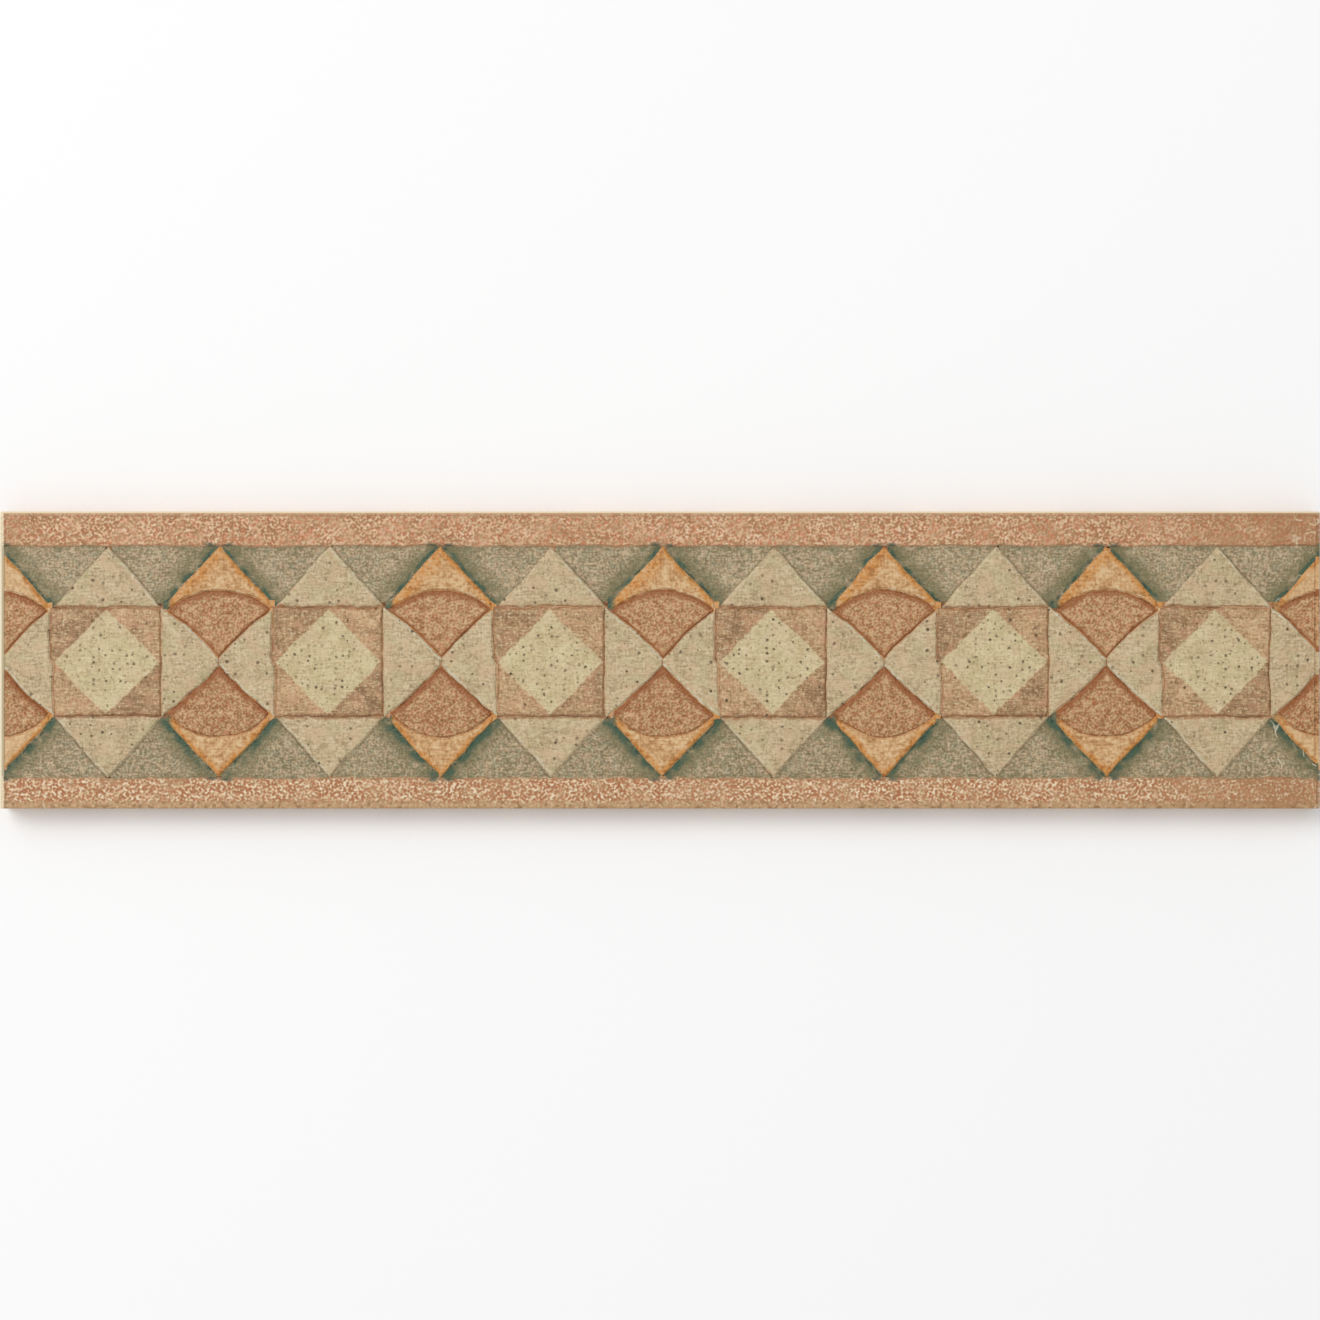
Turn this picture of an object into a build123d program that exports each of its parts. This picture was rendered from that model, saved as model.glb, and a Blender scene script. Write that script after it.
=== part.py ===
from build123d import *
import math
import os

# Decorated ceramic liner tile: one slab, pressed with its relief and fired as a single piece.
# X runs along the tile, Y across it and Z out of the glazed face.
# The origin is the centre of the bedding plane. Sizes are in millimetres, angles in degrees.

# Slab
tile_length = 333.0
tile_width = 75.0
tile_thickness = 8.5
plan_corner_radius = 0.5
arris_radius = 0.38
bed_chamfer = 0.35

# Sunken field that carries the ornament, between the two border bands
field_width = 58.4
field_depth = 0.6
field_shift = -0.5
field_corner_radius = 0.8
end_rim = 0.5

# Ornament: squares and stars take turns along the field
module_pitch = 56.0
module_shift = 0.65
square_side = 27.6
square_shift = -0.4
square_step = 0.9
star_waist = 1.0
leg_bow = 0.5
fan_inset = 1.2
upper_fan_rise = 5.1
lower_fan_rise = 6.1

# Raised pads, one for each shape of the ornament, parted by grooves that hold the glaze
groove_floor = 0.36
square_height = 0.36
triangle_height = 0.4
spandrel_height = 0.42
fan_height = 0.5
relief_draft = 35.0
least_pad_area = 6.0

# Keying grooves in the back, which the adhesive fills
key_count = 6
key_width = 6.4
key_pitch = 11.0
key_depth = 0.7
key_margin = 9.0

# Levels and lattice, worked out from the sizes above
field_level = tile_thickness - field_depth
draft_run = math.tan(math.radians(relief_draft))
field_flare = field_depth * draft_run
floor_length = tile_length - 2 * end_rim - 2 * field_flare
half_pitch = module_pitch / 2
half_square = square_side / 2
half_field = field_width / 2
gap = half_pitch - half_square
fan_reach = gap - fan_inset
peak_slope = (half_field - half_square) / gap
leg_run, leg_climb = gap, half_square - star_waist
leg_chord = math.hypot(leg_run, leg_climb)
leg_radius = (leg_chord**2 / 4 + leg_bow**2) / (2 * leg_bow)
leg_centre_x = leg_run / 2 + (leg_radius - leg_bow) * leg_climb / leg_chord
leg_centre_y = star_waist + leg_climb / 2 - (leg_radius - leg_bow) * leg_run / leg_chord


def polygon(*points):
    return make_face(Polyline(*points, close=True))


def square_outline():
    # The left side steps in, half-way down
    outer = -half_square - square_step / 2
    inner = -half_square + square_step / 2
    return polygon(
        (half_square, half_square),
        (half_square, -half_square),
        (inner, -half_square),
        (inner, -square_step),
        (outer, square_step),
        (outer, half_square),
    )


def leg_height(along):
    # Of the line from the star's waist to the corner of a square, which bows a little towards the fan
    return leg_centre_y + math.sqrt(leg_radius**2 - (along - leg_centre_x) ** 2)


def leg(side, level, reach):
    # The part of that line in one quarter of the star, as far as the reach
    points = [(side * along, level * leg_height(along)) for along in (0, reach / 2, reach)]
    return ThreePointArc(*points)


def upright_triangle_outline(side):
    # Stands on the square's upper or lower side and points at the band
    return polygon(
        (-half_square, side * half_square),
        (half_square, side * half_square),
        (0, side * half_field),
    )


def level_triangle_outline(side):
    # Lies between the two fans and meets its twin at the waist, with its base along a square's side
    upper = lower = gap + side * square_shift
    if side > 0:
        upper -= square_step / 2
        lower += square_step / 2
    base = [(upper, leg_height(upper)), (upper, square_step), (lower, -square_step), (lower, -leg_height(lower))]
    if side < 0:
        base = [(-upper, leg_height(upper)), (-lower, -leg_height(lower))]
    waist = Line((0, star_waist), (0, -star_waist))
    return make_face([waist, leg(side, 1, upper), Polyline(*base), leg(side, -1, lower)])


def fan_arc(side):
    shoulder = leg_height(fan_reach)
    rise = upper_fan_rise if side > 0 else lower_fan_rise
    return ThreePointArc(
        (fan_reach, side * shoulder),
        (0, side * (shoulder + rise)),
        (-fan_reach, side * shoulder),
    )


def fan_outline(side):
    # Opens from the waist of the star towards the band
    return make_face([leg(1, side, fan_reach), leg(-1, side, fan_reach), fan_arc(side)])


def spandrel_outline(side):
    # Peak of the star's diamond, which wraps the fan's arc and ends short of the corners of the squares
    shoulder = side * leg_height(fan_reach)
    tip = side * (half_field - peak_slope * fan_reach)
    peak = Polyline(
        (-fan_reach, shoulder), (-fan_reach, tip), (0, side * half_field), (fan_reach, tip), (fan_reach, shoulder)
    )
    return make_face([peak, fan_arc(side)])


def ornament_outlines():
    # Pairs of a pad's plan outline and its height, for every module that reaches the tile
    modules = math.ceil(tile_length / 2 / module_pitch) + 1
    for number in range(-modules, modules + 1):
        star = Pos(module_shift + number * module_pitch, field_shift)
        between = star * Pos(half_pitch, 0)
        yield between * Pos(square_shift, 0) * square_outline(), square_height
        for side in (1, -1):
            yield between * upright_triangle_outline(side), triangle_height
            yield star * level_triangle_outline(side), triangle_height
            yield star * spandrel_outline(side), spandrel_height
            yield star * fan_outline(side), fan_height


def slab():
    plan = RectangleRounded(tile_length, tile_width, plan_corner_radius)
    blank = extrude(plan, amount=tile_thickness)
    blank = chamfer(blank.faces().sort_by(Axis.Z)[0].edges(), bed_chamfer)
    return fillet(blank.faces().sort_by(Axis.Z)[-1].edges(), arris_radius)


def field_plan(flare):
    return Pos(0, field_shift) * RectangleRounded(
        floor_length + 2 * flare, field_width + 2 * flare, field_corner_radius + flare
    )


def field_recess():
    # Widens upwards by the draft, so that the die lets go of the clay
    floor = Pos(0, 0, field_level) * field_plan(0)
    mouth = Pos(0, 0, tile_thickness) * field_plan(field_flare)
    return loft([floor, mouth], ruled=True)


def pad(outline, height):
    # Low plateau with sloping sides, half a groove in from its outline
    foot = offset(outline, amount=-groove_floor / 2)
    crown = offset(outline, amount=-groove_floor / 2 - height * draft_run)
    return loft([Pos(0, 0, field_level) * foot, Pos(0, 0, field_level + height) * crown], ruled=True)


def pads():
    # The end modules are cut off at the rim, and a scrap too small to press is left out
    floor = field_plan(0)
    for outline, height in ornament_outlines():
        for kept in (outline & floor).faces():
            if kept.area > least_pad_area:
                yield pad(kept, height)


def key_grooves():
    groove = extrude(SlotOverall(tile_length - 2 * key_margin, key_width), amount=key_depth)
    return GridLocations(0, key_pitch, 1, key_count) * groove


def liner_tile():
    return slab() - field_recess() + list(pads()) - key_grooves()


os.makedirs("parts", exist_ok=True)
tile = liner_tile()
tile.label = "liner_tile"
export_step(tile, "parts/liner_tile.step")
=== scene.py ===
import bpy
import math
from functools import cached_property
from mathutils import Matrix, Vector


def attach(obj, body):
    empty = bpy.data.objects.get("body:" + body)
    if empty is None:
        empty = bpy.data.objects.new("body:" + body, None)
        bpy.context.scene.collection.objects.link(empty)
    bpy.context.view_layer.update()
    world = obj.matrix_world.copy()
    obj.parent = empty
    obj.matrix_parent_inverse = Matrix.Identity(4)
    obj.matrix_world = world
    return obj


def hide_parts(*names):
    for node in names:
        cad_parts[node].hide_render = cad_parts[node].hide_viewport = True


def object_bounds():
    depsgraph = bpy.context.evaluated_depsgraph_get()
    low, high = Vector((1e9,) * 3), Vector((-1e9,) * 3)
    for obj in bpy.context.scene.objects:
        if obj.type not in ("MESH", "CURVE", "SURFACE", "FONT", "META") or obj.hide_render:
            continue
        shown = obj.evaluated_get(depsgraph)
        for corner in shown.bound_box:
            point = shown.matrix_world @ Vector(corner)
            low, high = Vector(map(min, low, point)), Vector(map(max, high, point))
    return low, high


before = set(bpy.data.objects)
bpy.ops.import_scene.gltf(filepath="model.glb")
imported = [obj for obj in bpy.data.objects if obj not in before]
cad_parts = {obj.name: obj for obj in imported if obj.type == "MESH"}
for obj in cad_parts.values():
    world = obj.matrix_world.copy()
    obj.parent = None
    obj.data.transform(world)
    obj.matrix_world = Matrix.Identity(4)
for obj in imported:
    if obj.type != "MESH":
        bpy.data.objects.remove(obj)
cadLow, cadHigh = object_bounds()
print("frame loaded", [round(n * 1000, 1) for n in cadHigh - cadLow], "mm")

mm = 0.001


# a wrapped socket that takes part in Python sums
class Flow:
    def __init__(self, tree, socket=None):
        self.tree = tree
        self.socket = socket

    def node(self, kind, settings=None, inputs=None, out=0):
        made = self.tree.nodes.new(kind)
        for name, value in (settings or {}).items():
            if name == "stops":
                self.setStops(made.color_ramp.elements, value)
            else:
                setattr(made, name, value)
        for name, value in (inputs or {}).items():
            if isinstance(value, Flow):
                self.tree.links.new(value.socket, made.inputs[name])
            else:
                made.inputs[name].default_value = value
        return Flow(self.tree, made.outputs[out])

    def setStops(self, elements, stops):
        elements[0].position, elements[1].position = stops[0][0], stops[-1][0]
        for place, tone in stops[1:-1]:
            elements.new(place)
        for element, (place, tone) in zip(elements, stops):
            element.color = tone

    def math(self, operation, first, *others):
        return self.node("ShaderNodeMath", {"operation": operation}, dict(enumerate((first, *others))))

    def vector(self, operation, *others):
        return self.node("ShaderNodeVectorMath", {"operation": operation}, dict(enumerate((self, *others))))

    def __add__(self, other):
        return self.math("ADD", self, other)

    def __radd__(self, other):
        return self.math("ADD", other, self)

    def __sub__(self, other):
        return self.math("SUBTRACT", self, other)

    def __rsub__(self, other):
        return self.math("SUBTRACT", other, self)

    def __mul__(self, other):
        return self.math("MULTIPLY", self, other)

    def __rmul__(self, other):
        return self.math("MULTIPLY", other, self)

    def __abs__(self):
        return self.math("ABSOLUTE", self)

    def axis(self, number):
        return self.node("ShaderNodeSeparateXYZ", inputs={0: self}, out=number)

    def ease(self, low, high):  # 0 at low, 1 at high, smooth between
        return self.node(
            "ShaderNodeMapRange",
            {"interpolation_type": "SMOOTHSTEP"},
            {"Value": self, "From Min": low, "From Max": high},
        )

    def line(self, reach):  # 1 on a line, 0 at a reach from it on both sides
        return abs(self).ease(reach, 0.0)

    def ramp(self, *stops):
        return self.node("ShaderNodeValToRGB", {"stops": stops}, {0: self})

    def over(self, under, colour):  # this factor lays a colour over another
        return self.node("ShaderNodeMix", {"data_type": "RGBA"}, {0: self, 6: under, 7: colour}, out=2)


def larger(first, second):
    return first.math("MAXIMUM", first, second) if isinstance(first, Flow) else max(first, second)


def root(value):
    return value.math("SQRT", value) if isinstance(value, Flow) else math.sqrt(value)


def sign(value):
    return value.math("SIGN", value) if isinstance(value, Flow) else math.copysign(1.0, value)


def paint(red, green, blue):  # a colour as the eye reads it, 0 to 255
    def linear(part):
        part /= 255
        return part / 12.92 if part <= 0.04045 else ((part + 0.055) / 1.055) ** 2.4

    return linear(red), linear(green), linear(blue), 1.0


# the ornament as pressed, in mm
ornament = {
    "pitch": 56.0,
    "shiftX": 0.65,
    "shiftY": -0.5,
    "halfSquare": 13.8,
    "squareShift": -0.4,
    "squareStep": 0.9,
    "halfField": 29.2,
    "starWaist": 1.0,
    "legBow": 0.5,
    "fanInset": 1.2,
    "upperBow": 5.1,
    "lowerBow": 6.1,
    "halfDiamond": 13.3,
}


# distances from the ornament's lines, in mm, for plain numbers and for sockets alike
class Lines:
    middle = ornament["pitch"] / 2
    half = ornament["halfSquare"]
    field = ornament["halfField"]
    waist = ornament["starWaist"]
    gap = middle - half
    fanReach = gap - ornament["fanInset"]
    chord = math.hypot(gap, half - waist)
    legRadius = (chord ** 2 / 4 + ornament["legBow"] ** 2) / (2 * ornament["legBow"])
    legAlong = gap / 2 + (legRadius - ornament["legBow"]) * (half - waist) / chord
    legUp = (half + waist) / 2 - (legRadius - ornament["legBow"]) * gap / chord
    shoulder = legUp + math.sqrt(legRadius ** 2 - (fanReach - legAlong) ** 2)

    def __init__(self, side, rise):  # from the nearest star, and from the middle line
        self.side, self.rise = side, rise
        self.u, self.v = abs(side), abs(rise)

    def slant(self, along, up, runAlong, runUp):
        length = math.hypot(runAlong, runUp)
        return along * (runUp / length) + up * (runAlong / length)

    @cached_property
    def beside(self):  # from the nearest square
        return self.side - sign(self.side) * self.middle - ornament["squareShift"]

    @cached_property
    def band(self):
        return self.v - self.field

    @cached_property
    def kite(self):  # the star's diamond
        return self.slant(self.u, self.v - self.field, self.gap, self.field - self.half)

    @cached_property
    def leg(self):  # the fan's sides, which bow a little into it
        along, up = self.u - self.legAlong, self.v - self.legUp
        return self.legRadius - root(along * along + up * up)

    @cached_property
    def above(self):
        return sign(self.rise) * 0.5 + 0.5

    def bowed(self, bow):
        radius = (self.fanReach ** 2 + bow ** 2) / (2 * bow)
        up = self.v - (self.shoulder + bow - radius)
        return root(self.u * self.u + up * up) - radius

    @cached_property
    def arc(self):
        upper, lower = self.bowed(ornament["upperBow"]), self.bowed(ornament["lowerBow"])
        return upper * self.above + lower * (1 - self.above)

    @cached_property
    def square(self):  # its left side steps in, half-way down
        left = (self.above - 0.5) * -ornament["squareStep"] - self.beside
        return larger(larger(self.beside, left) - self.half, self.v - self.half)

    @cached_property
    def upright(self):  # the triangles above and below the square
        return self.slant(self.middle - self.u, self.v - self.field, self.half, self.field - self.half)

    @cached_property
    def diamond(self):  # painted in the square
        return (abs(self.beside) + self.v - ornament["halfDiamond"]) * math.sqrt(0.5)


# what all glazes share, lengths in mm
firing = {
    "gloss": 0.32,
    "rough": 0.42,
    "drawnSoft": 0.4,
    "fraySize": 1.3,
    "fray": (0.9, 0.9, 0.0),
    "scratchCurl": 3.4,
    "scratchBreak": 2.7,
    "scratchWidth": 0.035,
}


# one glaze: its tree, its place on the tile and the marks that firing leaves
class Glaze:
    def __init__(self, name):
        self.made = bpy.data.materials.new(name)
        self.made.use_nodes = True
        tree = self.made.node_tree
        self.start = Flow(tree)
        self.shader = tree.nodes["Principled BSDF"]
        self.shader.inputs["Specular IOR Level"].default_value = firing["gloss"]
        self.spot = self.start.node("ShaderNodeTexCoord", out=3).vector("MULTIPLY", (1 / mm,) * 3)

    @cached_property
    def lines(self):
        plan = self.start.node("ShaderNodeUVMap", {"uv_map": "plan"}).vector("MULTIPLY", (1 / mm,) * 3)
        fray = self.lumps(firing["fraySize"], tint=True).vector("SUBTRACT", (0.5,) * 3)
        drawn = fray.vector("MULTIPLY_ADD", firing["fray"], plan)  # the brush's edge frays
        along = drawn.axis(0) - ornament["shiftX"]
        side = along.math("WRAP", along, Lines.middle, -Lines.middle)
        return Lines(side, drawn.axis(1) - ornament["shiftY"])

    @cached_property
    def upper(self):
        return self.lines.rise.ease(-firing["drawnSoft"], firing["drawnSoft"])

    @cached_property
    def right(self):
        return self.lines.side.ease(-firing["drawnSoft"], firing["drawnSoft"])

    @cached_property
    def falling(self):  # 1 where the star's edges fall from left to right
        return self.upper + self.right - self.upper * self.right * 2

    def lumps(self, size, detail=1.0, swirl=0.0, stretch=(1.0, 1.0, 1.0), tint=False):  # so many mm across
        return self.start.node(
            "ShaderNodeTexNoise",
            None,
            {
                "Vector": self.spot.vector("MULTIPLY", tuple(n / size for n in stretch)),
                "Scale": 1.0,
                "Detail": detail,
                "Distortion": swirl,
            },
            out=1 if tint else 0,
        )

    def linen(self, length=3.0, width=0.5):  # brush lines along the tile, crossed by weaker ones
        along = self.lumps(1.0, 1.0, 0.0, (1 / length, 1 / width, 1.0))
        across = self.lumps(1.0, 1.0, 0.0, (1 / width, 1 / length, 1.0))
        return along * 0.6 + across * 0.4

    def strokes(self, size):  # short winding strokes, light over 0.5 and dark under it
        return self.lumps(size, 0.0, 0.15)

    def pinholes(self, spacing, radius, share):  # how deep a hole is burnt, 0 on sound glaze
        where = {"Vector": self.spot, "Scale": 1 / spacing}
        flat = {"voronoi_dimensions": "2D"}
        away = self.start.node("ShaderNodeTexVoronoi", flat, where) * spacing
        chance = self.start.node("ShaderNodeTexVoronoi", flat, where, out=1)
        size = chance.axis(0).ease(1 - share, 1.0) * radius
        ragged = away + self.lumps(0.5, 1.0) * 0.5 - 0.25
        return (ragged - size).ease(0.1, -0.14) * size.ease(0.02, 0.1) * (chance.axis(1) * 0.6 + 0.4)

    def scratches(self, low, high):  # short pale marks towards the right end
        curl = (self.lumps(firing["scratchCurl"], 0.0) - 0.5).line(firing["scratchWidth"])
        broken = self.lumps(firing["scratchBreak"], 0.0).ease(0.52, 0.6)
        return curl * broken * self.spot.axis(0).ease(low, high)

    def fire(self, colour, rough=firing["rough"], lift=None):  # lift is the glaze's own relief, in mm
        links = self.start.tree.links
        links.new(colour.socket, self.shader.inputs["Base Color"])
        if isinstance(rough, Flow):
            links.new(rough.socket, self.shader.inputs["Roughness"])
        else:
            self.shader.inputs["Roughness"].default_value = rough
        if lift:
            bump = self.start.node("ShaderNodeBump", None, {"Height": lift, "Distance": mm})
            links.new(bump.socket, self.shader.inputs["Normal"])
        return self.made


bandTones = {
    "brown": paint(172, 126, 88),
    "tan": paint(195, 151, 113),
    "rose": paint(212, 170, 136),
    "olive": paint(182, 154, 112),
    "red": paint(202, 124, 84),
    # dark and ember: the hollows of the worm relief, partly pooled glaze and partly painted shade
    "dark": paint(156, 104, 66),
    "ember": paint(170, 108, 70),
    # pale and white: the ridges of the worm relief, partly thin glaze and partly painted highlight; the white
    # flecks are painted glints
    "pale": paint(230, 197, 160),
    "paintedGlint": paint(238, 224, 194),
    "calm": paint(184, 152, 112),
    # shade: the dark of the stains on the bottom strip, of the line along the bottom band's inner edge, and
    # of the painted shade lines just inside the edges
    "shade": paint(140, 104, 68),
    # worn: the pale of the scratches, and of the painted highlight along the top and left edges
    "worn": paint(236, 220, 186),
    "late": paint(160, 112, 72),
    "teal": paint(66, 90, 76),
}

# places on the bands, in mm from the middle of the tile
bandPlaces = {
    "calmFrom": (37.2, 36.0),
    "spentFrom": (110.0, 160.0),
    # dimRight, dimLeft and dimTop: where the painted shade lines just inside the edges lie
    "dimRight": 165.7,
    "dimLeft": 165.2,
    "dimTop": 36.4,
    # paleTop and paleLeft: where the painted highlight along the top and left edges begins
    "paleTop": 37.1,
    "paleLeft": 165.6,
    "scratched": (157.0, 163.0),
}


def bandGlaze():
    glaze = Glaze("bandGlaze")
    lines = glaze.lines
    x, y = glaze.spot.axis(0), glaze.spot.axis(1)
    out = abs(y)
    lower = y.ease(2.0, -2.0)
    lively = (out + lower * 0.9).ease(*bandPlaces["calmFrom"]) * lines.band.ease(-0.1, 0.5)
    patch = glaze.lumps(9.0, 2.0)
    tint = glaze.lumps(1.6, 1.5)
    stroke = glaze.strokes(0.66)
    crowd = glaze.lumps(5.0, 1.0).ease(0.3, 0.62)  # strokes stand closer in places
    colour = (tint * 0.55 + patch * 0.45).ramp(
        (0.37, bandTones["brown"]), (0.49, bandTones["tan"]), (0.62, bandTones["rose"])
    )
    hue = glaze.lumps(1.1, 0.0, 0.2, tint=True)
    colour = (hue.axis(0).ease(0.5, 0.64) * 0.6).over(colour, bandTones["red"])
    colour = (hue.axis(1).ease(0.5, 0.64) * (0.5 + lower * 0.3)).over(colour, bandTones["olive"])
    colour = ((1 - lively) * (0.45 + lower * 0.25)).over(colour, bandTones["calm"])
    colour = (lively * lower * 0.3).over(colour, bandTones["calm"])
    spent = x.ease(*bandPlaces["spentFrom"])  # glaze runs thin towards the right end
    colour = (spent * patch.ease(0.3, 0.56) * 0.65).over(colour, bandTones["late"])
    strength = (lively * 0.7 + 0.3) * (crowd * 0.45 + 0.22 + lower * 0.3) * (1 - spent * 0.6)
    # painted light on the worm relief: dark strokes in its hollows are partly pooled glaze and partly painted
    # shade, pale strokes on its ridges partly thin glaze and partly painted highlight, and the white flecks
    # are painted glints
    ink = lower.over(bandTones["dark"], bandTones["ember"])
    colour = (stroke.ease(0.5, 0.35) * strength).over(colour, ink)
    colour = (stroke.ease(0.51, 0.67) * strength * (1 - lower * 0.15)).over(colour, bandTones["pale"])
    fleck = stroke.ease(0.57, 0.66) * (glaze.lumps(1.2) + lower * 0.1).ease(0.52, 0.68) * strength
    colour = (fleck * 0.8).over(colour, bandTones["paintedGlint"])
    stain = glaze.lumps(1.4, 1.0).ease(0.54, 0.66) * lower * (1 - lively)
    colour = (stain * 0.7).over(colour, bandTones["shade"])
    colour = (lines.band.line(0.8) * lower * 0.2).over(colour, bandTones["shade"])
    cap = (lines.u - 2.0).line(2.2) * lines.band.ease(1.1, 0.4)  # where the star's tip touches the band
    colour = (cap * 0.85).over(colour, bandTones["teal"])
    dim = larger(x - bandPlaces["dimRight"], y - bandPlaces["dimTop"])  # painted shade: dark lines just inside the top and end edges, strongest at the right end, which faces away from the lamp
    dim = larger(dim, -bandPlaces["dimLeft"] - x)
    colour = (dim.line(0.4) * (0.45 + x.ease(164.0, 165.0) * 0.4)).over(colour, bandTones["shade"])
    pale = larger(y - bandPlaces["paleTop"], -bandPlaces["paleLeft"] - x)  # painted highlight along the top and left edges, which face the lamp, partly glaze worn thin on the rounded arris
    colour = (pale.ease(-0.15, 0.1) * 0.85).over(colour, bandTones["worn"])
    worn = glaze.scratches(*bandPlaces["scratched"]) * (1 - lower * 0.5)
    colour = (worn * 0.7).over(colour, bandTones["worn"])
    return glaze.fire(colour, lift=stroke * lively * 0.32)


sageTones = {
    "dark": paint(128, 116, 84),
    "sage": paint(160, 140, 106),
    "light": paint(192, 171, 137),
    "spot": paint(216, 196, 163),
    "gap": paint(112, 95, 64),
    "rose": paint(182, 152, 122),
    "moss": paint(140, 140, 112),
    "olive": paint(106, 102, 68),
    "teal": paint(56, 86, 68),
    "ink": paint(46, 62, 48),
    "scratch": paint(226, 212, 184),
}


def sageGlaze():
    glaze = Glaze("sageGlaze")
    lines = glaze.lines
    stroke = glaze.linen(1.3, 0.42) * 0.6 + glaze.strokes(0.6) * 0.4
    shade = glaze.lumps(1.2, 1.5) * 0.35 + glaze.linen() * 0.4 + glaze.lumps(5.0, 2.0) * 0.25
    colour = (shade + glaze.upper * 0.03 - 0.02).ramp(
        (0.38, sageTones["dark"]), (0.5, sageTones["sage"]), (0.62, sageTones["light"])
    )
    hue = glaze.lumps(1.3, 0.5, 0.2, tint=True)
    colour = (hue.axis(0).ease(0.5, 0.66) * 0.6).over(colour, sageTones["rose"])
    colour = (hue.axis(1).ease(0.5, 0.66) * 0.5).over(colour, sageTones["moss"])
    cloud = glaze.lumps(3.6, 1.0)
    colour = (stroke.ease(0.51, 0.37) * 0.5).over(colour, sageTones["gap"])
    colour = (stroke.ease(0.49, 0.63) * 0.45).over(colour, sageTones["spot"])
    colour = (lines.kite.ease(6.5, 0.6) * cloud.ease(0.1, 0.55) * 0.85).over(colour, sageTones["olive"])
    ragged = glaze.lumps(1.5)
    core = (lines.kite + ragged * 1.2 - 0.8).ease(2.2, 0.7) * (1 - glaze.upper)
    core = larger(core, (lines.kite + ragged * 1.2 - 0.4).ease(1.4, 0.9) * glaze.upper)
    colour = (core * (cloud.ease(0.35, 0.6) * 0.7 + 0.15)).over(colour, sageTones["teal"])
    colour = ((lines.kite - 0.3).line(0.45) * ragged.ease(0.5, 0.62) * 0.8).over(colour, sageTones["ink"])
    seam = lines.upright.ease(0.6, 0.2) * (glaze.lumps(2.4).ease(0.3, 0.6) * 0.5 + 0.1 + glaze.falling * 0.4)
    colour = (seam * 0.7).over(colour, sageTones["gap"])
    border = lines.band.ease(-1.6, -0.2) * cloud.ease(0.4, 0.65)
    colour = (border * 0.5).over(colour, sageTones["olive"])
    worn = glaze.scratches(146.0, 157.0) * (1 - glaze.upper * 0.5)
    colour = (worn * 0.75).over(colour, sageTones["scratch"])
    return glaze.fire(colour, 0.44, stroke * 0.32)


beigeTones = {
    "dark": paint(162, 140, 103),
    "beige": paint(190, 168, 131),
    "light": paint(211, 191, 155),
    "pink": paint(203, 172, 136),
    "green": paint(190, 181, 136),
    "crown": paint(218, 216, 192),
    "rim": paint(160, 112, 74),
    "pit": paint(76, 58, 34),
}


def beigeGlaze():
    glaze = Glaze("beigeGlaze")
    lines = glaze.lines
    grain = glaze.lumps(0.65, 1.0)
    linen = glaze.linen()
    shade = grain * 0.36 + linen * 0.42 + glaze.lumps(5.0, 2.0) * 0.22
    shade = shade + lines.v.ease(14.5, 13.0) * 0.02 - 0.005
    colour = shade.ramp((0.4, beigeTones["dark"]), (0.5, beigeTones["beige"]), (0.6, beigeTones["light"]))
    hue = glaze.lumps(4.2, 1.0, tint=True)
    colour = (hue.axis(0).ease(0.48, 0.64) * 0.6).over(colour, beigeTones["pink"])
    colour = (hue.axis(1).ease(0.5, 0.68) * 0.4).over(colour, beigeTones["green"])
    crown = (lines.leg - 0.45).line(0.4) * lines.v.ease(14.0, 13.0) * (glaze.falling * 0.7 + 0.1)
    crest = (lines.upright + 0.45).line(0.35) * lines.v.ease(13.2, 14.2)
    crown = larger(crown, crest * (glaze.falling * 0.5 + 0.15))
    colour = (crown * glaze.lumps(2.2).ease(0.32, 0.56)).over(colour, beigeTones["crown"])
    fleck = glaze.linen(1.2, 0.4)
    colour = (fleck.ease(0.47, 0.36) * 0.52).over(colour, beigeTones["dark"])
    colour = (fleck.ease(0.53, 0.64) * 0.52).over(colour, beigeTones["light"])
    rim = lines.square.ease(1.0, 0.3) * lines.v.ease(13.4, 14.0) * glaze.lumps(1.6).ease(0.3, 0.55)
    colour = (rim * 0.7).over(colour, beigeTones["rim"])
    pits = glaze.pinholes(2.6, 0.4, 0.62)
    colour = (pits * 0.9).over(colour, beigeTones["pit"])
    return glaze.fire(colour, 0.46, linen * 0.08 + grain * 0.06 - pits * 0.15)


squareTones = {
    "dark": paint(134, 101, 66),
    "shadow": paint(170, 135, 98),
    "sun": paint(188, 152, 113),
    "light": paint(212, 177, 138),
    "pink": paint(196, 148, 114),
    "smudge": paint(132, 104, 76),
    "creamDark": paint(182, 162, 120),
    "cream": paint(201, 182, 141),
    "creamLight": paint(216, 201, 160),
    "green": paint(200, 196, 148),
    "blush": paint(211, 186, 153),
    "rim": paint(146, 94, 56),
    "pit": paint(80, 62, 36),
}


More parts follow.
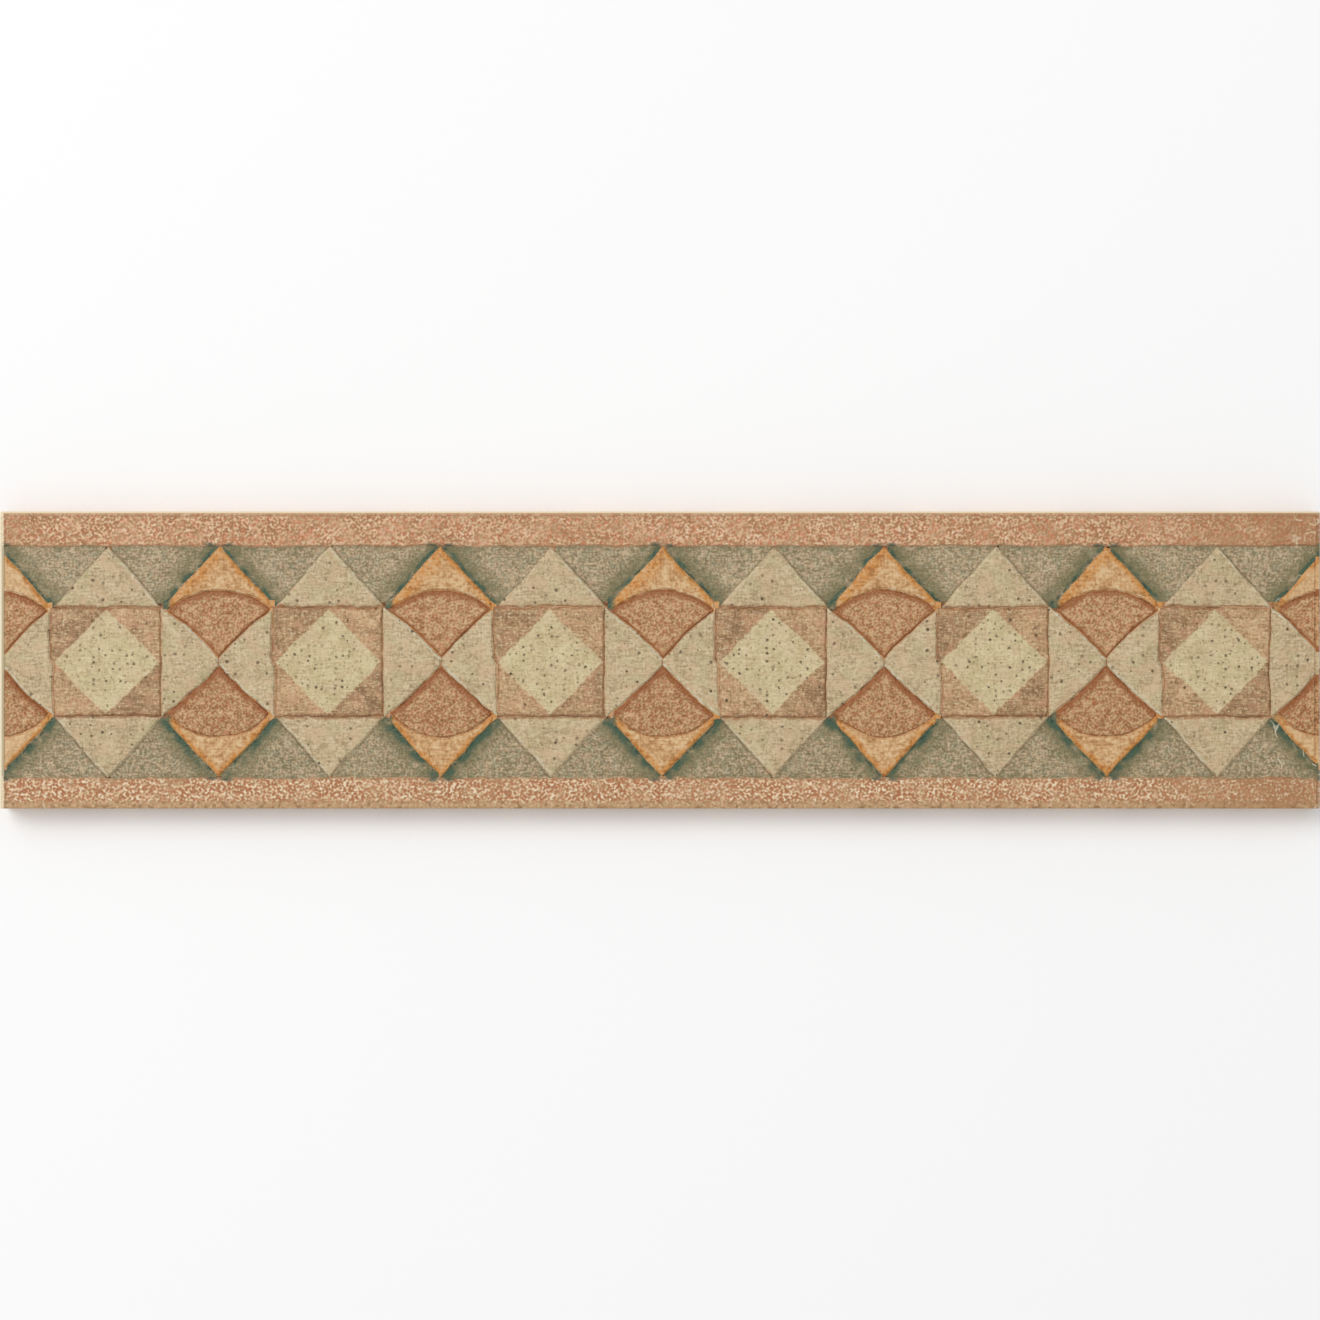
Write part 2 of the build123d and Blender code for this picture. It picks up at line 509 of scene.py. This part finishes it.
def squareGlaze():
    glaze = Glaze("squareGlaze")
    lines = glaze.lines
    grain = glaze.lumps(0.7, 1.0)
    linen = glaze.linen()
    shade = grain * 0.35 + linen * 0.35 + glaze.lumps(4.5, 2.0) * 0.3
    left = 1 - lines.beside.ease(-0.3, 0.3)
    dim = glaze.upper * left + (1 - glaze.upper) * (1 - left)  # upper left and lower right corners
    corner = (shade - dim * 0.055).ramp(
        (0.36, squareTones["dark"]),
        (0.45, squareTones["shadow"]),
        (0.51, squareTones["sun"]),
        (0.62, squareTones["light"]),
    )
    hue = glaze.lumps(4.0, 1.0, tint=True)
    corner = (hue.axis(0).ease(0.5, 0.66) * 0.5).over(corner, squareTones["pink"])
    smudge = glaze.lumps(3.4, 1.5).ease(0.42, 0.68) * (dim * 0.28 + 0.05)
    corner = smudge.over(corner, squareTones["smudge"])
    cream = shade.ramp(
        (0.38, squareTones["creamDark"]), (0.5, squareTones["cream"]), (0.61, squareTones["creamLight"])
    )
    cream = (hue.axis(1).ease(0.5, 0.66) * 0.2).over(cream, squareTones["green"])
    cream = (hue.axis(2).ease(0.5, 0.66) * 0.4).over(cream, squareTones["blush"])
    colour = lines.diamond.ease(0.25, -0.25).over(corner, cream)
    fleck = glaze.linen(1.2, 0.4)
    lively = 0.4 + lines.diamond.ease(-0.2, 0.2) * 0.22
    colour = (fleck.ease(0.46, 0.34) * lively).over(colour, squareTones["dark"])
    colour = (fleck.ease(0.54, 0.66) * lively).over(colour, squareTones["creamLight"])
    pits = larger(
        glaze.pinholes(1.7, 0.36, 0.72) * lines.diamond.ease(0.0, -1.0),
        glaze.pinholes(3.4, 0.38, 0.4),
    )
    colour = (pits * 0.9).over(colour, squareTones["pit"])
    rim = lines.square.ease(-0.9, -0.1) * (glaze.lumps(2.0).ease(0.3, 0.6) * 0.5 + 0.05)
    colour = rim.over(colour, squareTones["rim"])
    return glaze.fire(colour, 0.46, linen * 0.08 + grain * 0.06 - pits * 0.15)


amberTones = {
    "dark": paint(168, 122, 74),
    "peach": paint(200, 157, 108),
    "pale": paint(219, 186, 142),
    "orange": paint(206, 138, 60),
    "burnt": paint(170, 106, 46),
    # the pale of the painted highlight just above the fan's arc
    "highlight": paint(228, 208, 172),
    "teal": paint(70, 92, 70),
}


def amberGlaze():
    glaze = Glaze("amberGlaze")
    lines = glaze.lines
    grain = glaze.lumps(0.8, 1.0, 0.3)
    linen = glaze.linen()
    shade = grain * 0.45 + linen * 0.35 + glaze.lumps(4.0, 1.0) * 0.2
    colour = shade.ramp((0.37, amberTones["dark"]), (0.49, amberTones["peach"]), (0.6, amberTones["pale"]))
    reach = lines.kite + glaze.lumps(3.5, 1.0) * 1.6 - 0.8
    broad = reach.ease(-4.6, -1.4) * (0.6 + glaze.lumps(1.5, 1.0).ease(0.4, 0.6) * 0.4)
    narrow = reach.ease(-2.0, -0.7)
    wide = glaze.upper * (1 - glaze.right)
    strong = larger(wide * broad + (1 - wide) * narrow, lines.u.ease(8.0, 11.5))
    thin = larger(reach.ease(-1.3, -0.5), lines.u.ease(9.5, 12.0))
    end = abs(glaze.spot.axis(0)).ease(148.0, 161.0)
    strong = strong + (thin - strong) * end
    colour = (end * 0.3).over(colour, amberTones["pale"])
    deep = (shade * 1.4 - 0.2).ramp(
        (0.36, amberTones["burnt"]), (0.5, amberTones["orange"]), (0.66, amberTones["peach"])
    )
    colour = (strong * 0.85).over(colour, deep)
    # painted highlight: a pale broken line just above the upper fans' arcs, right of the star
    arcHighlight = (lines.arc - 0.35).line(0.4) * glaze.lumps(1.4).ease(0.5, 0.62) * glaze.right * glaze.upper
    colour = (arcHighlight * 0.8).over(colour, amberTones["highlight"])
    lost = lines.u.ease(11.4, 12.8) * (1 - glaze.right) * (1 - end)
    colour = (lost * 0.85).over(colour, amberTones["teal"])
    return glaze.fire(colour, lift=linen * 0.1 + grain * 0.12)


fanTones = {
    "brown": paint(154, 106, 63),
    "rust": paint(186, 143, 99),
    "rose": paint(205, 165, 121),
    "red": paint(180, 108, 66),
    "olive": paint(176, 144, 98),
    # dark and pale: the fan's strokes, partly pooled and thin glaze and partly painted shade and highlight on
    # its worm relief
    "dark": paint(146, 88, 48),
    "pale": paint(214, 184, 142),
    "edge": paint(148, 84, 40),
}


def fanGlaze():
    glaze = Glaze("fanGlaze")
    lines = glaze.lines
    stroke = glaze.strokes(0.6)
    shade = glaze.lumps(1.6, 1.5) + glaze.upper * 0.06 - 0.03
    colour = shade.ramp((0.36, fanTones["brown"]), (0.5, fanTones["rust"]), (0.64, fanTones["rose"]))
    hue = glaze.lumps(1.0, 0.0, 0.2, tint=True)
    colour = (hue.axis(0).ease(0.5, 0.64) * 0.5).over(colour, fanTones["red"])
    colour = (hue.axis(1).ease(0.5, 0.64) * 0.5).over(colour, fanTones["olive"])
    busy = lines.v.ease(2.5, 8.0) * 0.3 + 0.25
    # dark strokes in the hollows of the worm relief are partly pooled glaze and partly painted shade, pale
    # ones on its ridges partly thin glaze and partly painted highlight
    colour = (stroke.ease(0.5, 0.33) * busy).over(colour, fanTones["dark"])
    colour = (stroke.ease(0.51, 0.68) * busy * 0.8).over(colour, fanTones["pale"])
    ragged = glaze.lumps(0.8) * 1.4 - 0.7
    top = (lines.arc + ragged).ease(-1.7, -0.9) * glaze.upper
    legs = (lines.leg + ragged - glaze.upper * 0.7).ease(-1.9, -0.9)
    colour = (larger(top, legs) * (0.8 - glaze.upper * 0.06)).over(colour, fanTones["edge"])
    return glaze.fire(colour, lift=stroke * 0.3)


grooveTones = {
    "deep": paint(92, 58, 30),
    "brown": paint(150, 100, 60),
    "pink": paint(198, 152, 112),
    "burnt": paint(112, 60, 26),
    "rust": paint(192, 132, 82),
}


def grooveGlaze():
    glaze = Glaze("grooveGlaze")
    lines = glaze.lines
    level = (lines.v - lines.half).line(0.8) * lines.square.ease(0.8, 0.5)  # above and below a square
    pale = level * glaze.upper * lines.beside.ease(-10.0, 4.0)
    pale = larger(pale, (1 - glaze.upper) * (lines.beside + lines.half).line(1.2))
    blot = (lines.u - lines.gap).line(1.4) * (lines.v - lines.half).line(1.4)  # glaze pools in the corners
    shade = glaze.lumps(1.8, 1.0) * 0.5 + glaze.lumps(8.0, 1.0) * 0.5
    shade = shade + pale * 0.12 - blot * 0.1 - level * (1 - glaze.upper) * 0.06 - 0.02
    colour = shade.ramp((0.38, grooveTones["deep"]), (0.5, grooveTones["brown"]), (0.62, grooveTones["pink"]))
    faint = larger(glaze.upper * lines.leg.ease(-1.2, -0.6), (1 - glaze.upper) * lines.arc.ease(-1.2, -0.6))
    fan = (shade + faint * 0.07).ramp((0.38, grooveTones["burnt"]), (0.58, grooveTones["rust"]))
    fanSide = lines.kite.ease(0.4, -0.4) * lines.leg.ease(1.0, 0.5) * lines.u.ease(13.0, 12.2)
    colour = fanSide.over(colour, fan)
    return glaze.fire(colour)


biscuitTones = {
    "dark": paint(178, 140, 102),
    "clay": paint(200, 164, 124),
    "light": paint(216, 184, 146),
    "run": paint(196, 158, 118),
}


def biscuit():
    glaze = Glaze("biscuit")
    speck = glaze.lumps(0.8, 3.0)
    shade = speck * 0.6 + glaze.lumps(14.0, 2.0) * 0.4
    colour = shade.ramp(
        (0.36, biscuitTones["dark"]), (0.5, biscuitTones["clay"]), (0.64, biscuitTones["light"])
    )
    run = (glaze.spot.axis(2) + glaze.lumps(7.0) * 2.0).ease(7.2, 7.5)  # glaze that ran over the arris
    colour = run.over(colour, biscuitTones["run"])
    return glaze.fire(colour, 0.9 - run * 0.45, speck * 0.06)


# the glazed tile, from a merged copy of the pressed body
tileMesh = {
    "flatAngle": math.radians(1.0),
    "softEdge": 0.09 * mm,
    "softSegments": 2,
    "softOver": math.radians(38.0),
    "latticeStep": 1.65 * mm,
    "faceAbove": 7.3 * mm,
    "grainCuts": 2,
    "smoothUnder": math.radians(34.0),
    # hand-made waver: direction, lump across, reach
    "waver": [
        ("X", 12.0, 1.0),
        ("Y", 10.0, 1.0),
        ("X", 3.4, 0.4),
        ("Y", 3.0, 0.4),
        ("X", 1.2, 0.42),
        ("Y", 1.1, 0.42),
    ],
    # stars at the ends: how far the waist is drawn in, and where along and up the tile
    "endPull": 1.2,
    "endReach": (152.0, 164.5),
    "endStart": (0.0, 2.6),
    "endStop": (4.0, 13.0),
    # mm in from the outer edge
    "stillRim": 1.2,
    "freeRim": 5.0,
    "grainRim": (1.4, 2.4),
    "grainSize": 0.9,
    "grainDepth": 0.16,
    "mergeUnder": 0.001 * mm,
}


def mergedCopy(node, name):
    bpy.ops.object.select_all(action="DESELECT")
    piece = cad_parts[node].copy()
    piece.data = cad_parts[node].data.copy()
    piece.name = piece.data.name = name
    piece.parent = None
    for tag in list(piece.keys()):
        del piece[tag]
    bpy.context.scene.collection.objects.link(piece)
    piece.select_set(True)
    bpy.context.view_layer.objects.active = piece
    bpy.ops.object.mode_set(mode="EDIT")
    bpy.ops.mesh.select_all(action="SELECT")
    bpy.ops.mesh.remove_doubles(threshold=tileMesh["mergeUnder"])
    bpy.ops.mesh.dissolve_limited(angle_limit=tileMesh["flatAngle"])
    bpy.ops.object.mode_set(mode="OBJECT")
    return piece


def applyModifier(piece, kind, settings):
    made = piece.modifiers.new(kind.lower(), kind)
    for name, value in settings.items():
        setattr(made, name, value)
    bpy.ops.object.modifier_apply(modifier=made.name)


def softenEdges(piece):
    applyModifier(
        piece,
        "BEVEL",
        {
            "width": tileMesh["softEdge"],
            "segments": tileMesh["softSegments"],
            "limit_method": "ANGLE",
            "angle_limit": tileMesh["softOver"],
            "use_clamp_overlap": False,
        },
    )


def latticeFace(piece):
    step = tileMesh["latticeStep"]
    for face in piece.data.polygons:
        face.hide = face.center.z < tileMesh["faceAbove"]
    bpy.ops.object.mode_set(mode="EDIT")
    for axis in (0, 1):
        normal = [float(axis == 0), float(axis == 1), 0.0]
        cuts = int((cadHigh[axis] - cadLow[axis]) / step)
        for number in range(1, cuts + 1):
            spot = [0.0, 0.0, 0.0]
            spot[axis] = cadLow[axis] + number * (cadHigh[axis] - cadLow[axis]) / (cuts + 1)
            bpy.ops.mesh.select_all(action="SELECT")
            bpy.ops.mesh.bisect(plane_co=spot, plane_no=normal)
    bpy.ops.mesh.reveal(select=False)
    bpy.ops.object.mode_set(mode="OBJECT")


def planMap(piece):  # the ornament's plan, in metres, kept from before the face is waved
    plan = piece.data.uv_layers.new(name="plan")
    for corner, spot in zip(piece.data.loops, plan.uv):
        spot.vector = piece.data.vertices[corner.vertex_index].co.xy


# where one glaze gives way to another, in mm
borders = {
    "clayUnder": 7.3,
    "grooveUnder": 7.93,
    "leftRim": -165.5,
    "tipFrom": 12.4,
    "tipLeg": 0.3,
    "tipTop": 13.4,
    "lastStar": 150.0,
    "steep": 0.3,
    "level": 0.99,
}


def glazeAt(place, normal):  # the glaze that a face of the tile wears
    x, y, z = (n / mm for n in place)
    if z < borders["clayUnder"] or abs(normal.z) < borders["steep"]:
        return "biscuit"
    side = (x - ornament["shiftX"] + Lines.middle) % ornament["pitch"] - Lines.middle
    lines = Lines(side, y - ornament["shiftY"])
    if lines.band > 0 or x < borders["leftRim"]:
        return "bandGlaze"
    if lines.kite > 0 and lines.upright > 0:
        return "sageGlaze"
    if z < borders["grooveUnder"] and normal.z > borders["level"]:
        if lines.kite < 0 and lines.leg < borders["tipLeg"] and lines.u > borders["tipFrom"]:
            if side > 0 or x > borders["lastStar"]:
                return "amberGlaze"
            return "sageGlaze" if lines.v > borders["tipTop"] else "grooveGlaze"
        return "grooveGlaze"
    if lines.square < 0:
        return "squareGlaze"
    if lines.kite < 0 and lines.leg < 0:
        return "fanGlaze" if lines.arc < 0 else "amberGlaze"
    return "beigeGlaze"


def dressFaces(piece):
    piece.data.materials.clear()
    for make in (bandGlaze, sageGlaze, beigeGlaze, squareGlaze, amberGlaze, fanGlaze, grooveGlaze, biscuit):
        piece.data.materials.append(make())
    names = list(piece.data.materials.keys())
    for face in piece.data.polygons:
        face.material_index = names.index(glazeAt(face.center, face.normal))


def fadeIn(value, low, high):
    return min(max((value - low) / (high - low), 0.0), 1.0)


def drawEnds(piece):  # stars that the ends cut off are narrower in the waist
    for point in piece.data.vertices:
        rise = point.co.y / mm - ornament["shiftY"]
        near = fadeIn(abs(point.co.x) / mm, *tileMesh["endReach"]) * (point.co.z > tileMesh["faceAbove"])
        pull = near * fadeIn(abs(rise), *tileMesh["endStart"]) * (1 - fadeIn(abs(rise), *tileMesh["endStop"]))
        point.co.y -= math.copysign(tileMesh["endPull"] * pull, rise) * mm


def waveFace(piece):  # hand-made lines, still at the outer edges
    free = piece.vertex_groups.new(name="free")
    for point in piece.data.vertices:
        inset = min(cadHigh.x - abs(point.co.x), cadHigh.y - abs(point.co.y)) / mm
        weight = fadeIn(inset, tileMesh["stillRim"], tileMesh["freeRim"])
        if point.co.z > tileMesh["faceAbove"] and weight > 0:
            free.add([point.index], weight, "REPLACE")
    for direction, lump, reach in tileMesh["waver"]:
        cloudPush(piece, direction, lump, reach, 0.5, "free")


def cloudPush(piece, direction, lump, reach, level, group):
    cloud = bpy.data.textures.new("cloud", "CLOUDS")
    cloud.noise_scale = lump * mm
    cloud.noise_depth = 1
    applyModifier(
        piece,
        "DISPLACE",
        {
            "texture": cloud,
            "texture_coords": "LOCAL",
            "direction": direction,
            "strength": reach * mm,
            "mid_level": level,
            "vertex_group": group,
        },
    )


def grainFace(piece):  # the rough bands and fans, sunk a little and pitted
    names = list(piece.data.materials.keys())
    rough = [names.index("bandGlaze"), names.index("fanGlaze")]
    bpy.ops.object.mode_set(mode="EDIT")
    bpy.ops.mesh.select_all(action="DESELECT")
    bpy.ops.object.mode_set(mode="OBJECT")
    for face in piece.data.polygons:
        face.select = face.material_index in rough and face.normal.z > 0.99 and len(face.vertices) < 5
    bpy.ops.object.mode_set(mode="EDIT")
    bpy.ops.mesh.subdivide(number_cuts=tileMesh["grainCuts"])
    bpy.ops.object.mode_set(mode="OBJECT")
    grain = piece.vertex_groups.new(name="grain")
    for face in piece.data.polygons:
        if face.material_index not in rough or face.normal.z < 0.9:
            continue
        for number in face.vertices:
            place = piece.data.vertices[number].co
            inset = min(cadHigh.x - abs(place.x), cadHigh.y - abs(place.y)) / mm
            grain.add([number], fadeIn(inset, *tileMesh["grainRim"]), "REPLACE")
    cloudPush(piece, "Z", tileMesh["grainSize"], tileMesh["grainDepth"], 1.0, "grain")


tile = mergedCopy("liner_tile", "glazedTile")
softenEdges(tile)
print("body copied and edges softened", len(tile.data.polygons), "faces")
latticeFace(tile)
planMap(tile)
print("face cut into a lattice", len(tile.data.polygons), "faces")
dressFaces(tile)
print("glazes laid on", len(tile.data.materials))
grainFace(tile)
drawEnds(tile)
waveFace(tile)
bpy.ops.object.shade_smooth_by_angle(angle=tileMesh["smoothUnder"])
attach(tile, "root")
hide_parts("liner_tile")
tile.data.calc_loop_triangles()
print("tile", len(tile.data.polygons), "faces", len(tile.data.loop_triangles), "triangles")

# floor, lamp and camera
studio = {
    "frameLens": 100.0,
    "sensor": 36.0,
    "worldLight": 0.62,
    "floorSize": 8.0,
    "floorPaint": 0.98,
    "keyPlace": (-1.25, 1.1, 2.2),
    "keyPower": 38.0,
    "keySize": 1.8,
}


def studioFloor():
    bpy.ops.object.select_all(action="DESELECT")
    bpy.ops.mesh.primitive_plane_add(size=studio["floorSize"])
    floor = bpy.context.active_object
    floor.name = "floor"
    made = bpy.data.materials.new("floorPaint")
    made.use_nodes = True
    shader = made.node_tree.nodes["Principled BSDF"]
    shader.inputs["Base Color"].default_value = [studio["floorPaint"]] * 3 + [1.0]
    shader.inputs["Roughness"].default_value = 1.0
    shader.inputs["Specular IOR Level"].default_value = 0.0
    floor.data.materials.append(made)


def studioLight():
    world = bpy.data.worlds.new("studio")
    bpy.context.scene.world = world
    world.use_nodes = True
    sky = world.node_tree.nodes["Background"]
    sky.inputs["Color"].default_value = (1.0, 1.0, 1.0, 1.0)
    seen = Flow(world.node_tree).node("ShaderNodeLightPath")
    strength = seen * (1 - studio["worldLight"]) + studio["worldLight"]
    world.node_tree.links.new(strength.socket, sky.inputs["Strength"])
    bpy.ops.object.light_add(type="AREA", location=studio["keyPlace"])
    key = bpy.context.active_object
    key.data.energy = studio["keyPower"]
    key.data.size = studio["keySize"]
    key.rotation_euler = key.location.to_track_quat("Z", "Y").to_euler()


def photoCamera():
    span = cadHigh.x - cadLow.x
    bpy.ops.object.camera_add(location=(0, 0, cadHigh.z + span / studio["sensor"] * studio["frameLens"]))
    camera = bpy.context.active_object
    camera.data.lens = studio["frameLens"]
    camera.data.sensor_width = studio["sensor"]
    bpy.context.scene.camera = camera


studioFloor()
studioLight()
photoCamera()
bpy.context.scene.view_settings.view_transform = "Standard"
print("floor, lamp and camera set")
